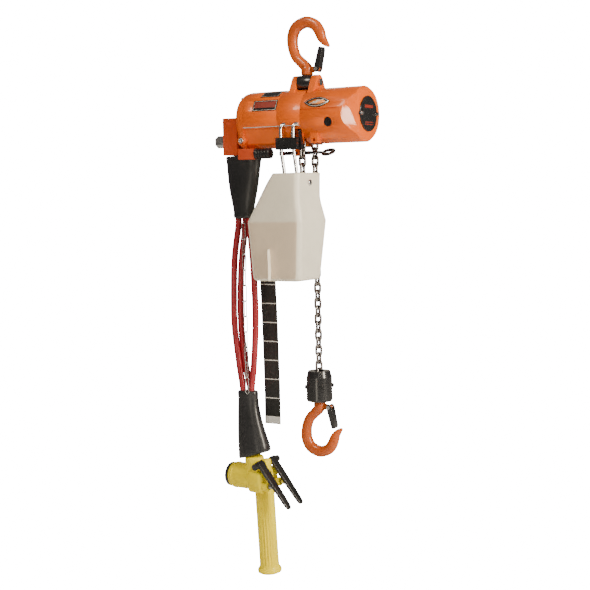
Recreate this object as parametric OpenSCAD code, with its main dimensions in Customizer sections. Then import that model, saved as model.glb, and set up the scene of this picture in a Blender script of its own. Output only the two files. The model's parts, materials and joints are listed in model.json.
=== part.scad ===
// Air chain hoist, single fall, with a pendant control.
// Millimetres, +Z up. The origin is the centre of the top hook's bowl. +X runs along the body
// from the motor end to the gear end, and +Y points to the back, away from the chain container.

/* [Chain] */
// Diameter of the chain wire
chain_wire = 6.3; // [6.1:0.1:6.3]
// Inside length of one link
chain_pitch = 19.1; // [19.1:0.05:19.3]
// Inside width of one link
link_inside = 7.9; // [7.6:0.1:8.2]
// Links in the loaded strand
load_links = 31; // [25:2:39]
// Links in the slack strand
slack_links = 13; // [11:1:14]

/* [Hooks] */
// Radius of both hooks' bowls
bowl_r = 25; // [23:0.5:26]
// Thickness of the hook forging
hook_t = 22; // [20:1:24]
// Height from bowl centre to the end of the neck
neck_h = 86; // [84:1:88]
// Radius of the hook shanks
shank_r = 8; // [7:0.5:8.5]

/* [Body] */
// Depth of the body axis below the top hook's bowl centre
axis_drop = 184; // [182:1:190]
// Radius of the casing
case_r = 65; // [64:0.5:67]
// Left end of the end cover
cover_x = -171; // [-175:1:-168]
// Joint between end cover and motor housing
motor_x = -147; // [-148:1:-146]
// Joint between motor housing and centre frame
frame_x = -49; // [-50:1:-48]
// Joint between centre frame and gear case
gear_x = 14; // [14:1:15]
// Right end of the gear case
end_x = 160; // [158:1:165]

/* [Container] */
// Width of the container along the body
bin_w = 140; // [130:1:145]
// Depth of the container
bin_d = 132; // [125:1:134]
// Wall of the container
bin_wall = 3; // [2:0.5:4]

/* [Pendant] */
// Radius of the hand grip
grip_r = 24; // [21:0.5:26]
// Length of the hand grip below the head centre
grip_l = 236; // [220:1:250]
// Splay of the levers from the grip
lever_splay = 37.5; // [34:0.5:40]
// Forward tilt of the pendant as it hangs
pendant_tilt = 4; // [0:1:9]
// Turn of the pendant as it hangs
pendant_turn = -5; // [-10:1:5]

/* [Hidden] */
$fn = 64;
hull_fn = 32;
clear = 0.05;      // running clearance on a radius
seam = 0.2;        // gap at a joint between castings
bend_r = (link_inside + chain_wire) / 2;
link_play = 0.1;
pockets = 5;
wheel_r = 2 * pockets * chain_pitch / (2 * PI);  // chain advance of the sheave for one radian
wrap_r = 30;       // circle through the joints of the links on the sheave
link_end = (chain_pitch + link_play + chain_wire) / 2;
strand_top = -axis_drop - 2 * chain_pitch;
load_end = strand_top - load_links * chain_pitch;
block_top = load_end + 17.3;
block_h = 75;
block_bottom = block_top - block_h;
block_r = 32;
load_bowl_z = block_bottom - neck_h - 0.5;
pin_z = 80;        // suspension pin above the body axis
yoke_w = 36;
ear_t = 15;
gear_m = 2;
gear_c = 30;       // distance from sun to planet
hanger = [[-37, -58, -22], [-3, -58, -22]];
bin_top = -317;
bin_fold = -430;
bin_bottom = -572;
bin_right = 37.5;
bin_back = 8;
hose_y = -20;
hose_x = [-17, 0, 17];
hose_r = 8;
barrel_r = 32;      // cross barrel of the pendant head
pendant_at = [-175, hose_y, -1065];
lever_y = 25;
lever_pivot = [53, 0, 40];
lever_l = 130;
nut_r = 11;
lever_x = -42;     // pivot of the limit lever
brake_r = 32;      // brake room in the gear case
spring_r = 22;     // circle of the brake springs
plate_screw = 37.5;
vane_count = 5;
rotor_r = 32;
bin_left = bin_right - bin_w;
bin_front = bin_back - bin_d;
rod_at = [0, -65, -340];  // cross rod that the container turns on
rod_r = 3.5;
strain_pitch = 38;
latch_at = [29, 0, 73];  // hinge of the latch from the bowl centre
// centre of a plunger's round end, just clear of its lever's inner face
plunger_tip = lever_pivot.x + ((12 + lever_pivot.z) * sin(lever_splay) - 5.2) / cos(lever_splay);

orange = [0.93, 0.42, 0.10];
red_orange = [0.80, 0.22, 0.10];
black = [0.08, 0.08, 0.09];
steel = [0.62, 0.62, 0.64];
dark_steel = [0.25, 0.24, 0.25];
cream = [0.86, 0.83, 0.74];
yellow = [0.95, 0.78, 0.05];
hose_red = [0.72, 0.08, 0.12];

// ---------- helpers ----------

// A cylinder along +X that starts at x.
module bar_x(x, length, r) translate([x, 0, 0]) rotate([0, 90, 0]) cylinder(h = length, r = r);

// A cylinder along +Y that starts at y.
module bar_y(y, length, r) translate([0, y, 0]) rotate([-90, 0, 0]) cylinder(h = length, r = r);

// A cylinder along +Z that starts at z and stands at x.
module cylinder_z(z, length, r, x = 0) translate([x, 0, z]) cylinder(h = length, r = r);

// Extrudes an outline drawn in Y and Z along +X.
module along_x(x, length) translate([x, 0, 0]) rotate([90, 0, 90]) linear_extrude(length) children();

// Extrudes an outline drawn in X and Z along +Y.
module along_y(y, length)
    translate([0, y + length, 0]) rotate([90, 0, 0]) linear_extrude(length) children();

// Moves a piece drawn about the body axis to its place.
module on_axis() translate([0, 0, -axis_drop]) children();

// Moves a piece drawn about the load line to its place.
module on_load() translate([0, wheel_r, 0]) children();

// Moves a piece drawn in the pendant's own frame to its place.
module on_pendant()
    translate(pendant_at) rotate([0, 0, pendant_turn]) rotate([pendant_tilt, 0, 0]) children();

module rounded_square(w, h, r) {
    square([w - 2 * r, h], center = true);
    square([w, h - 2 * r], center = true);
    for (x = [-1, 1], y = [-1, 1]) translate([x * (w / 2 - r), y * (h / 2 - r)]) circle(r);
}

// One oval link standing along Z, flat in the XZ plane.
module link(pitch, bend, wire) {
    reach = (pitch + link_play + wire) / 2 - bend;
    for (end = [0, 1]) mirror([0, 0, end]) translate([0, 0, reach]) rotate([90, 0, 0])
        rotate_extrude(angle = 180) translate([bend, 0]) circle(d = wire);
    for (side = [-1, 1]) translate([side * bend, 0, -reach]) cylinder(h = 2 * reach, d = wire);
}

// A hanging run of links; the first one is turned by the given angle.
module strand(top, count, turn)
    for (i = [0 : count - 1]) translate([0, 0, top - (i + 0.5) * chain_pitch])
        rotate([0, 0, turn + 90 * (i % 2)]) link(chain_pitch, bend_r, chain_wire);

// A closed coil with its axis along Z.
function ring(r, z, a, wire, sides) = [for (k = [0 : sides - 1])
    let (b = 360 * k / sides, q = r + wire / 2 * cos(b)) [q * cos(a), q * sin(a), z + wire / 2 * sin(b)]];

module coil(r, wire, length, turns) {
    sides = 6;
    steps = 10 * turns;
    rise = (length - wire) / steps;
    points = [for (i = [0 : steps]) each ring(r, rise * i + wire / 2, 36 * i, wire, sides)];
    walls = [for (i = [0 : steps - 1], k = [0 : sides - 1])
        let (a = i * sides + k, b = i * sides + (k + 1) % sides) [a, b, b + sides, a + sides]];
    ends = [[for (k = [sides - 1 : -1 : 0]) k], [for (k = [0 : sides - 1]) steps * sides + k]];
    polyhedron(points, concat(walls, ends), convexity = 10);
}

// ---------- hooks ----------

// A hook that opens towards +X, with its bowl centre at the origin and its shank up.
module hook(shank_l) {
    width = 27;
    mid = bowl_r + width / 2;
    difference() {
        union() {
            rotate([90, 0, 0]) rotate_extrude(angle = 215, start = 160)
                translate([mid, 0]) rounded_square(width, hook_t, 7);
            back = [[-mid, 6], [-mid + 3, 32], [-20, 54], [0, 70]];
            for (i = [0 : 2]) hull() for (p = [back[i], back[i + 1]])
                translate([p.x, 0, p.y]) sphere(r = width / 2 - 0.5, $fn = 24);
            tip = [[mid + 1, 2, 10.5], [mid + 11, 12, 8], [mid + 21, 20, 5.5]];
            for (i = [0 : 1]) hull() for (p = [tip[i], tip[i + 1]])
                translate([p.x, 0, p.y]) sphere(r = p.z, $fn = 24);
            translate([0, 0, 62]) cylinder(h = neck_h - 62, r = 14);
            translate([0, 0, neck_h - 1]) cylinder(h = shank_l + 1, r = shank_r);
            // lug that carries the latch
            along_y(-4, 8) polygon([[4, 64], [27, 68], [27, 78], [4, 83]]);
            translate(latch_at) bar_y(-4, 8, 5.4);
        }
        rotate([90, 0, 0]) translate([0, 0, -40]) cylinder(h = 80, r = bowl_r);
        translate(latch_at) bar_y(-20, 40, 2.5 + clear);
    }
}

// Folded sheet latch that closes the throat.
module latch() translate(latch_at) difference() {
    hull() {
        bar_y(-9, 18, 7.6);
        translate([13, 0, -47]) rotate([0, -15, 0]) cube([6, 16, 10], center = true);
    }
    hull() {
        bar_y(-7.4, 14.8, 6);
        translate([-10, 0, 3]) bar_y(-7.4, 14.8, 6);
        translate([8, 0, -47]) rotate([0, -15, 0]) cube([12, 13, 20], center = true);
    }
    bar_y(-12, 24, 2.5 + clear);
}

// Hinge pin of the latch with its closing coil beside the lug.
module latch_spring() translate(latch_at) {
    bar_y(-10.9, 21.8, 2.5);
    for (y = [-10.9, 9.1]) bar_y(y, 1.8, 4.5);
    translate([0, 4.05, 0]) rotate([-90, 0, 0]) coil(4.2, 1, 3.3, 2);
}

module nut(z) difference() {
    translate([0, 0, z]) cylinder(h = 12, r = nut_r, $fn = 6);
    translate([0, 0, z - 1]) cylinder(h = 14, r = shank_r + clear);
}

module top_hook() color(orange) mirror([0, 0, 1]) hook(24);
module top_latch() color(black) mirror([0, 0, 1]) latch();
module top_latch_spring() color(steel) mirror([0, 0, 1]) latch_spring();
module top_hook_nut() color(steel) nut(pin_z + 6 - axis_drop - 12 - clear);

module load_hook() color(orange) on_load() translate([0, 0, load_bowl_z]) hook(42);
module load_latch() color(black) on_load() translate([0, 0, load_bowl_z]) latch();
module load_latch_spring() color(steel) on_load() translate([0, 0, load_bowl_z]) latch_spring();
module load_hook_nut() color(steel) on_load() nut(block_bottom + 26);

// ---------- suspension ----------

module suspension_yoke() color(black) on_axis() difference() {
    along_x(-yoke_w / 2, yoke_w) union() {
        translate([0, pin_z]) circle(21);
        polygon([[-20.5, pin_z - 4], [20.5, pin_z - 4], [13, pin_z + 17], [-13, pin_z + 17]]);
    }
    translate([0, 0, pin_z + 17]) cylinder(h = 20, r = 40);
    translate([0, 0, pin_z - 40]) cylinder(h = 80, r = shank_r + clear);
    translate([0, 0, pin_z - 40]) cylinder(h = 46, r = nut_r + 0.4);
    translate([0, 0, pin_z]) bar_x(-40, 80, 5 + clear);
}

// Two shouldered trunnion bolts, one through each ear.
module suspension_pins() color(steel) on_axis() for (side = [0, 1]) mirror([side, 0, 0])
    translate([0, 0, pin_z]) {
        bar_x(12, yoke_w / 2 + ear_t - 11, 5);
        bar_x(yoke_w / 2 + ear_t + 1, 4, 8);
    }

// ---------- casing ----------

// Upper round and lower stepped outline shared by motor housing and centre frame.
module case_outline() {
    difference() {
        circle(case_r);
        translate([0, -22 - 50]) square([200, 100], center = true);
    }
    polygon([[-58, -20], [-56, -26], [-47, -62], [-38, -71], [38, -71], [47, -62], [56, -26], [58, -20]]);
}

// Ear round the suspension pin, tangent to its round top.
module ear_outline() {
    foot = [36, 50];
    top_r = 18;
    reach = norm([foot.x, foot.y - pin_z]);
    t = atan2(foot.y - pin_z, foot.x) + acos(top_r / reach);
    touch = [top_r * cos(t), pin_z + top_r * sin(t)];
    polygon([[-foot.x, foot.y], [foot.x, foot.y], touch, [-touch.x, touch.y]]);
    translate([0, pin_z]) circle(top_r);
}

module centre_frame() color(orange) on_axis() difference() {
    union() {
        along_x(frame_x, gear_x - frame_x) case_outline();
        bar_x(gear_x - 1, 18, 57.4);
        for (x = [yoke_w / 2 + 0.5, -yoke_w / 2 - 0.5 - ear_t]) along_x(x, ear_t) ear_outline();
        // cheeks of the limit lever
        for (y = [-16, 10.5]) translate([lever_x - 7, wheel_r + y, -92]) cube([14, 5.5, 34]);
    }
    translate([lever_x, wheel_r, -84]) bar_y(-20, 40, 3 + clear);
    // pocket that the yoke's round end turns in
    translate([0, 0, pin_z]) bar_x(-yoke_w / 2 - 0.5, yoke_w + 1, 25);
    translate([0, 0, pin_z]) bar_x(-60, 120, 5 + clear);
    // sheave room and the strands' way out
    bar_x(-15, 30, 46.5);
    translate([-14, -43, -80]) cube([28, 86, 80]);
    translate([-19, -80, -80]) cube([32, 56, 50]);
    // bearing seats and shaft hole
    for (x = [-38, 17]) bar_x(x - 0.05, 12.1, 24 + clear);
    bar_x(-15, 40, 20);
    bar_x(-30, 16, 20);
    bar_x(-60, 120, 14.6);
    for (p = hanger) translate(p) bar_y(-12, 22, rod_r + clear);
}

module motor_housing() color(orange) on_axis() difference() {
    along_x(motor_x, frame_x - seam - motor_x) case_outline();
    bar_x(motor_x - 1, 87, 52);
    bar_x(-62, 20, 9);
    // flats under the two plates
    for (p = [[26, -60, -118, 71], [60, -60, -106, 52]])
        translate([p[2], 0, 0]) rotate([-p[0], 0, 0]) translate([0, -case_r - 8, -15]) cube([p[3], 9.6, 30]);
    for (s = [-1, 1], a = [35, 150]) rotate([a * s, 0, 0]) translate([0, 0, 58]) bar_x(motor_x - 1, 13, 2.5);
}

module end_cover() color(orange) on_axis() difference() {
    depth = motor_x - seam - cover_x;
    hull() for (t = [0, 30, 60, 80]) {
        shrink = 1 - 0.24 * (1 - cos(t));
        translate([motor_x - seam - 1 - (depth - 1) * sin(t), 0, 0]) along_x(0, 1) scale([shrink, shrink]) {
            circle(case_r, $fn = 48);
            translate([-47, -71]) square([94, 60]);
        }
    }
    bar_x(motor_x - 8, 20, 50);
    for (s = [-1, 1], a = [35, 150]) rotate([a * s, 0, 0]) translate([0, 0, 58]) {
        bar_x(-200, 80, 2.6);
        bar_x(-200, 200 + motor_x - 12, 5.5);
    }
    translate([-160, 0, -54]) bar_y(-80, 34, 7);
}

module gear_case() color(orange) on_axis() difference() {
    union() {
        bar_x(gear_x + seam, end_x - gear_x - seam, case_r);
        // front lug with its cross hole
        translate([36, -52, -64]) cube([18, 18, 24]);
    }
    // bevel round the end
    difference() {
        bar_x(end_x - 6, 10, case_r + 5);
        rotate([0, 90, 0]) translate([0, 0, end_x - 6.01]) cylinder(h = 6.02, r1 = case_r, r2 = case_r - 5);
    }
    // slanted face towards the front
    translate([124, -case_r, 0]) rotate([0, 0, 32.6]) translate([-60, -60, -80]) cube([160, 60, 160]);
    translate([124, -case_r, -22]) rotate([-9, 0, 32.6]) translate([-12, -60, -60]) cube([160, 60, 60]);
    // notch for the frame's ear and the yoke
    translate([gear_x - 1, -36.3, 49.7]) cube([yoke_w / 2 + ear_t + 1.7 - gear_x, 72.6, 30]);
    // spigot bore, gear room, brake room
    bar_x(gear_x - 1, 19, 57.4 + clear);
    bar_x(gear_x + 18 - 0.1, 34.1, 57);
    bar_x(60, 60, 10);
    bar_x(80, 100, brake_r);
    // round recess of the plug and hole of the lug
    translate([88, 0, -17]) bar_y(-80, 22, 11);
    translate([45, 0, -57]) bar_y(-60, 40, 4);
    // groove along the front
    translate([gear_x, -70, 13]) cube([98, 8.4, 1.6]);
    // seat of the badge
    translate([58, 0, 0]) rotate([-27, 0, 0]) translate([0, -case_r + 1.6, 0]) rotate([90, 0, 0])
        linear_extrude(10) badge_outline(0.3);
    for (s = [-1, 1]) translate([0, s * plate_screw, 0]) bar_x(end_x - 14, 20, 2.5);
}

// Blunt oval of two small ends and two wide flanks.
module badge_outline(grow) {
    flank = 52;
    intersection() {
        translate([0, flank - 13]) circle(flank + grow);
        translate([0, -(flank - 13)]) circle(flank + grow);
        square([72 + 2 * grow, 60], center = true);
    }
}

// Cover of the brake room with two screw ears.
module end_plate() color(black) on_axis() difference() {
    union() {
        bar_x(end_x - 9.8, 10, brake_r - 0.1);
        bar_x(end_x + 0.1, 3, 41);
        for (s = [-1, 1]) translate([0, s * plate_screw, 0]) bar_x(end_x + 0.1, 3, 6);
    }
    bar_x(end_x - 20, 19, brake_r - 3);
    for (s = [-1, 1]) translate([0, s * plate_screw, 0]) bar_x(end_x - 14, 40, 2.6);
}

// Blank plates: the badge, two flat plates on the motor housing and the cover over the ear.
module label_plates() color(black) on_axis() {
    translate([58, 0, 0]) rotate([-27, 0, 0]) translate([0, -case_r + 1.5, 0]) rotate([90, 0, 0])
        linear_extrude(2.2) badge_outline(0);
    for (p = [[26, -117, 66, 28], [60, -105, 50, 26]])
        rotate([-p[0], 0, 0]) translate([p[1], -case_r + 0.4, -p[3] / 2]) cube([p[2], 1.1, p[3]]);
    translate([88, 0, -17]) bar_y(-case_r + 4, 2, 10.8);
}

// A socket screw that points along +X, its head outside.
module screw(length, head_r) difference() {
    union() {
        bar_x(0, length, 2.45);
        bar_x(-5, 5.01, head_r);
    }
    rotate([0, 90, 0]) translate([0, 0, -6]) cylinder(h = 4, r = 2.3, $fn = 6);
}

module case_screws() color(steel) on_axis() {
    for (s = [-1, 1], a = [35, 150]) rotate([a * s, 0, 0])
        translate([motor_x - 12 - clear, 0, 58]) screw(23, 4.8);
    for (s = [-1, 1]) translate([end_x + 3.2, s * plate_screw, 0]) rotate([0, 0, 180]) screw(16, 4.4);
}

// ---------- air motor ----------

module motor_cylinder() color(dark_steel) on_axis() difference() {
    bar_x(-138, 66, 52 - clear);
    translate([0, 0, -5.5]) bar_x(-140, 70, 38);
}

module motor_end_plates() color(steel) on_axis() for (x = [-146.8, -71.9]) difference() {
    bar_x(x, 8.7, 52 - clear);
    bar_x(x - 1, 11, 16 + clear);
}

module ball_bearing(x, width, bore, outer) difference() {
    bar_x(x, width, outer);
    bar_x(x - 1, width + 2, bore);
    for (end = [x - 1, x + width - 1.2]) difference() {
        bar_x(end, 2.2, outer - 2.4);
        bar_x(end - 1, 5, bore + 2.4);
    }
}

module motor_bearings() color(steel) on_axis() {
    ball_bearing(-146.5, 8, 7 + clear, 16);
    ball_bearing(-71.5, 8, 7 + clear, 16);
}

module motor_rotor() color(steel) on_axis() {
    difference() {
        bar_x(-137.8, 65.6, rotor_r);
        for (i = [0 : vane_count - 1]) rotate([72 * i, 0, 0]) translate([-140, -2, 15]) cube([70, 4, 20]);
    }
    bar_x(-146.5, 9, 7);
    bar_x(-73, 135, 7);
    bar_x(61, 18.9, 8.5);
    bar_x(79, 21, 7);
    along_x(43, 16) gear_outline(12, 0);
}

module rotor_vanes() color(dark_steel) on_axis() for (i = [0 : vane_count - 1])
    rotate([72 * i, 0, 0]) translate([-137.6, -1.9, 15.3]) cube([65.2, 3.8, 16.8]);

// ---------- gears ----------

// Point of an involute at radius r, its tooth's half angle at the pitch circle given.
function involute_deg(r, base) = let (a = acos(base / r)) tan(a) * 180 / PI - a;

function flank(teeth, grow, low, high, steps) = let (
    pitch = gear_m * teeth / 2,
    base = pitch * cos(20),
    half = 90 / teeth + grow / pitch * 180 / PI + involute_deg(pitch, base)
) [for (i = [0 : steps]) let (r = max(base, low) + (high - max(base, low)) * i / steps)
    [r, half - involute_deg(r, base)]];

// Spur gear outline with its first tooth along +Y of the drawing. grow thickens the flanks.
module gear_outline(teeth, grow, low_add = 2.5, high_add = 1.6) {
    pitch = gear_m * teeth / 2;
    low = pitch - low_add;
    high = pitch + high_add;
    side = flank(teeth, grow - 0.1, low, high, 5);
    root = [low, side[0][1]];
    profile = concat([root], side);
    points = [for (k = [0 : teeth - 1]) each concat(
        [for (p = profile) p[0] * [cos(90 + 360 * k / teeth - p[1]), sin(90 + 360 * k / teeth - p[1])]],
        [for (i = [len(profile) - 1 : -1 : 0]) let (p = profile[i])
            p[0] * [cos(90 + 360 * k / teeth + p[1]), sin(90 + 360 * k / teeth + p[1])]])];
    polygon(points);
}

module ring_gear() color(dark_steel) on_axis() difference() {
    bar_x(42, 18, 57 - clear);
    rotate([3.75, 0, 0]) along_x(41, 20) gear_outline(48, 0.2, 1.6, 2.5);
}

module planet_carrier() color(steel) on_axis() {
    difference() {
        bar_x(33.2, 7.8, 38);
        bar_x(30, 20, 14 + clear);
    }
    for (i = [0 : 2]) rotate([120 * i, 0, 0]) translate([0, 0, gear_c]) bar_x(40, 20, 5);
}

module planet(turn) color(steel) on_axis() rotate([turn, 0, 0]) translate([0, 0, gear_c]) difference() {
    rotate([10, 0, 0]) along_x(43, 16) gear_outline(18, 0);
    bar_x(42, 20, 5 + clear);
}

module planet_a() planet(0);
module planet_b() planet(120);
module planet_c() planet(240);

// ---------- load sheave ----------

// Five-pocket wheel: link centres lie at 18 degrees and every 36 degrees on.
module load_sheave() color(dark_steel) on_axis() difference() {
    union() {
        bar_x(-11, 22, 23.9);
        for (x = [-13.5, 11]) bar_x(x, 2.5, 40);
        for (i = [0 : pockets - 1]) rotate([54 + 72 * i - 90, 0, 0]) translate([0, 0, 27])
            cube([22.1, 5.2, 12], center = true);
        bar_x(-38, 79, 14);
        bar_x(-15, 1.6, 18);
        bar_x(13.4, 1.6, 18);
    }
    difference() {
        bar_x(-3.8, 7.6, 50);
        bar_x(-4, 8, 19.1);
    }
    bar_x(-60, 120, 7.6);
}

module sheave_bearings() color(steel) on_axis() for (x = [-38, 17]) ball_bearing(x, 12, 14 + clear, 24);

// The links that lie on the sheave, flat and upright in turn. A flat link's end wire passes
// through the bend centre of the upright link beside it.
module wheel_chain() color(dark_steel) on_axis() for (i = [0 : 4]) {
    half_chord = i % 2 == 0 ? link_end : link_end - bend_r;
    rotate([18 + 36 * i - 90, 0, 0]) translate([0, 0, sqrt(wrap_r ^ 2 - half_chord ^ 2)])
        rotate([90, 0, 0]) rotate([0, 0, 90 * (i % 2)]) link(chain_pitch, bend_r, chain_wire);
}

// ---------- brake ----------

module brake_disc() color(dark_steel) on_axis() difference() {
    bar_x(80.1, 6, brake_r - 4);
    bar_x(79, 10, 7 + clear);
}

module brake_piston() color(steel) on_axis() difference() {
    bar_x(86.2, 13.8, brake_r - 0.1);
    bar_x(85, 20, 12);
    for (i = [0 : 2]) rotate([60 + 120 * i, 0, 0]) translate([0, 0, spring_r]) bar_x(92, 20, 6);
}

module brake_springs() color(steel) on_axis() for (i = [0 : 2])
    rotate([60 + 120 * i, 0, 0]) translate([93, 0, spring_r]) rotate([0, 90, 0])
        coil(4.5, 1.8, end_x - 94.2, 6);

// ---------- underside ----------

module chain_guide() color(black) on_axis() {
    difference() {
        union() {
            translate([7, -57, -76]) cube([5.9, 12, 39]);
            translate([0, -51, -37]) bar_x(7, 5.9, 6);
        }
        translate([0, -51, -44]) bar_x(0, 20, 2.6);
    }
}

// Air valve and hose manifold, standing off the end cover's left and underside.
module valve_block() color(red_orange) on_axis() difference() {
    union() {
        translate([-214, -46, -86]) cube([41, 52, 90]);
        translate([-174, -44, -86]) cube([48, 50, 14.6]);
    }
    translate([0, -20, -52]) bar_x(-215, 20, 9.5);
    translate([-176, -20, -90]) cylinder(h = 12, r = 14);
}

module inlet_fitting() color(steel) on_axis() translate([0, -20, -52]) difference() {
    union() {
        bar_x(-224, 28.8, 9.4);
        bar_x(-222, 7.6, 18);
        rotate([0, 90, 0]) translate([0, 0, -246]) cylinder(h = 24.5, r = 15.5, $fn = 6);
    }
    bar_x(-250, 60, 7.5);
}

module silencer() color(red_orange) on_axis() {
    translate([-157, -68, -98]) cube([44, 22, 26]);
    translate([-113, -57, -85]) rotate([0, 90, 0]) difference() {
        cylinder(h = 42, r = 12.5);
        for (z = [8 : 8 : 34]) translate([0, 0, z]) difference() {
            cylinder(h = 3, r = 14);
            translate([0, 0, -1]) cylinder(h = 5, r = 11);
        }
    }
}

// Travel-limit lever: pivot at the left, an eye round the load chain, a pull ring at the right.
module limit_lever() color(black) on_axis() translate([0, wheel_r, -84]) difference() {
    union() {
        translate([-98, -5, -3]) cube([86, 10, 6]);
        cylinder_z(-4, 8, 19);
        cylinder_z(-3, 6, 15, 36);
        translate([10, -6, -3]) cube([14, 12, 6]);
        translate([lever_x, 0, 0]) {
            bar_y(-10, 20, 7);
            bar_y(-16, 32, 3);
        }
    }
    cylinder_z(-10, 20, 14);
    cylinder_z(-10, 20, 8.5, 36);
}

// Two wires hooked into the frame and the cross rod that the container turns on.
module hanger_wires() color(steel) {
    for (p = hanger) translate([p.x, p.y, p.z - axis_drop]) {
        drop = p.z - axis_drop - rod_at.z;
        bar_y(-7, 11, rod_r);
        translate([0, -7, 0]) sphere(r = rod_r);
        translate([0, -7, -drop]) cylinder(h = drop, r = rod_r);
    }
    translate(rod_at) {
        bar_x(-64, 105, rod_r);
        for (x = [-64, 38.5]) bar_x(x, 1.5, 7);
    }
}

module clamp_plate() color(black) on_axis() translate([-20, -65, -64]) difference() {
    union() {
        translate([-29, -6, -14]) cube([58, 12, 28]);
        translate([-9, 0, 1]) bar_y(-8, 3, 7);
    }
    for (p = hanger) translate([p.x + 20, 0, -20]) cylinder(h = 40, r = rod_r + clear);
}

// ---------- container ----------

module bin_solid(wall) intersection() {
    top = bin_top + wall;
    along_y(bin_front - 10, bin_d + 20) polygon([
        [-43 + wall, top], [bin_right - wall, top], [bin_right - wall, bin_fold],
        [bin_right - 8 - wall, bin_bottom + wall], [bin_left + 3 + wall, bin_bottom + wall],
        [bin_left + wall, bin_fold], [-52 + wall, bin_top - 18]]);
    along_x(bin_left - 10, bin_w + 20) polygon([
        [bin_front + 10 + wall, top], [bin_back - 10 - wall, top], [bin_back - 14 - wall, bin_top - 60],
        [bin_back - wall, bin_fold], [bin_back - 12 - wall, bin_bottom + wall],
        [bin_front + 8 + wall, bin_bottom + wall], [bin_front + wall, bin_fold],
        [bin_front + 6 + wall, bin_top - 18]]);
}

module container() color(cream) difference() {
    union() {
        bin_solid(0);
        // rib on the front
        translate([-44, bin_front + 4, bin_bottom + 4]) cube([5, 6, 70]);
    }
    bin_solid(bin_wall);
    translate(rod_at) bar_x(-80, 160, rod_r + clear);
}

module stored_chain() color(dark_steel) for (row = [0 : 2], i = [0 : 3])
    translate([-66 + i * chain_pitch, -90 + row * 32, bin_bottom + 14]) rotate([45 + 90 * (i % 2), 0, 0])
        rotate([0, 90, 0]) link(chain_pitch, bend_r, chain_wire);

// ---------- chain and bottom block ----------

module load_chain() color(dark_steel) on_load() strand(strand_top, load_links, 90);
module slack_chain() color(dark_steel) translate([0, -wheel_r, 0]) strand(strand_top, slack_links, 90);

module block_solid() on_load() translate([0, 0, block_bottom]) difference() {
    rotate_extrude() polygon([
        [0, 0], [block_r - 3, 0], [block_r, 4], [block_r - 0.8, 60], [block_r - 5, block_h], [0, block_h]]);
    translate([0, 0, block_h - 26]) cylinder(h = 40, r = 12.2);
    translate([0, 0, -1]) cylinder(h = 50, r = shank_r + clear);
    translate([0, 0, 26 - clear]) cylinder(h = 18, r = 13.5);
    translate([0, 0, load_end + 3.2 - block_bottom]) bar_x(-20, 40, 3 + clear);
    for (x = [-1, 1]) translate([x * 21, 0, 37]) bar_y(-50, 100, 3 + clear);
    for (x = [-1, 1]) translate([x * 21, 0, 37]) {
        bar_y(-50, 27, 6);
        bar_y(23, 27, 6);
    }
}

module block_shell_front() color(black) difference() {
    block_solid();
    on_load() translate([-50, -clear, block_bottom - 1]) cube([100, 60, block_h + 2]);
}

module block_shell_back() color(black) difference() {
    block_solid();
    on_load() translate([-50, -60, block_bottom - 1]) cube([100, 60 + clear, block_h + 2]);
}

// Two clamping bolts and the pin that holds the last link.
module block_bolts() color(steel) on_load() {
    for (x = [-1, 1]) translate([x * 21, 0, block_bottom + 37]) {
        bar_y(-24, 48, 3);
        for (y = [-27, 23.05]) bar_y(y, 3.95, 5.4);
    }
    translate([0, 0, load_end + 3.2]) bar_x(-19.8, 39.6, 3);
}

// ---------- pendant line ----------

module hose_set(top, bottom, r) for (x = hose_x)
    translate([pendant_at.x + x, hose_y, bottom]) cylinder(h = top - bottom, r = r);

module hoses() color(hose_red) hose_set(-414, -878, hose_r);

module boot_slice(x, z, a, b) translate([x, hose_y, z]) hull() for (s = [-1, 1])
    translate([s * (a - b), 0, 0]) cylinder(h = 1, r = b, $fn = hull_fn);

module upper_boot() color(black) difference() {
    union() {
        hull() {
            boot_slice(-174, -275.5, 46, 23);
            boot_slice(-176, -361, 40, 20);
        }
        hull() {
            boot_slice(-176, -361, 40, 20);
            boot_slice(pendant_at.x, -424, 27, 16);
        }
    }
    hose_set(-413.9, -430, hose_r + clear);
}

module lower_boot() color(black) difference() {
    hull() {
        boot_slice(pendant_at.x, -869, 27, 16);
        boot_slice(pendant_at.x + 4, -930, 30, 20);
        boot_slice(pendant_at.x + 16, -1008, 42, 28);
    }
    hose_set(-860, -878.1, hose_r + clear);
}

// Long-link chain that takes the pendant's weight, with a wire tie at each end.
module strain_chain() color(steel) for (i = [0 : 10])
    translate([pendant_at.x + 8, hose_y - 16, -436 - (i + 0.5) * strain_pitch])
        rotate([0, 0, 90 * (i % 2)]) link(strain_pitch - 0.1, 4.4, 2.4);

module tag_strip() color(black) translate([-140, 12, -935]) cube([42, 1.2, 470]);

// ---------- pendant ----------

module pendant_body() color(yellow) on_pendant() difference() {
    union() {
        bar_x(-49, 80, barrel_r);
        hull() {
            translate([18, -38, -24]) cube([44, 76, 48]);
            translate([18, -30, -29]) cube([40, 60, 57]);
        }
        // neck under the boot
        translate([18, 0, 0]) cylinder(h = 54, r = 24);
        // valve bosses
        for (s = [-1, 1]) translate([61, s * lever_y, -12]) rotate([0, 90, 0])
            cylinder(h = 17, r = 11, $fn = 8);
        translate([50, 0, -grip_l]) cylinder(h = grip_l, r = grip_r);
        translate([50, 0, -grip_l]) cylinder(h = 6, r = grip_r + 5);
        // lug of the lever pivot between the levers
        translate([44, -12, 10]) cube([18, 24, 40]);
    }
    // finger grooves along the grip
    for (x = [-7, 0, 7]) translate([50 + x, -grip_r - 1, -grip_l + 22]) cylinder(h = 165, r = 2.2);
    for (s = [-1, 1]) translate([0, s * lever_y, -12]) bar_x(40, 60, 5 + clear);
    translate(lever_pivot) bar_y(-60, 120, 4 + clear);
}

module pendant_cap() color(black) on_pendant() bar_x(-57, 7.8, barrel_r - 2);

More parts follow.
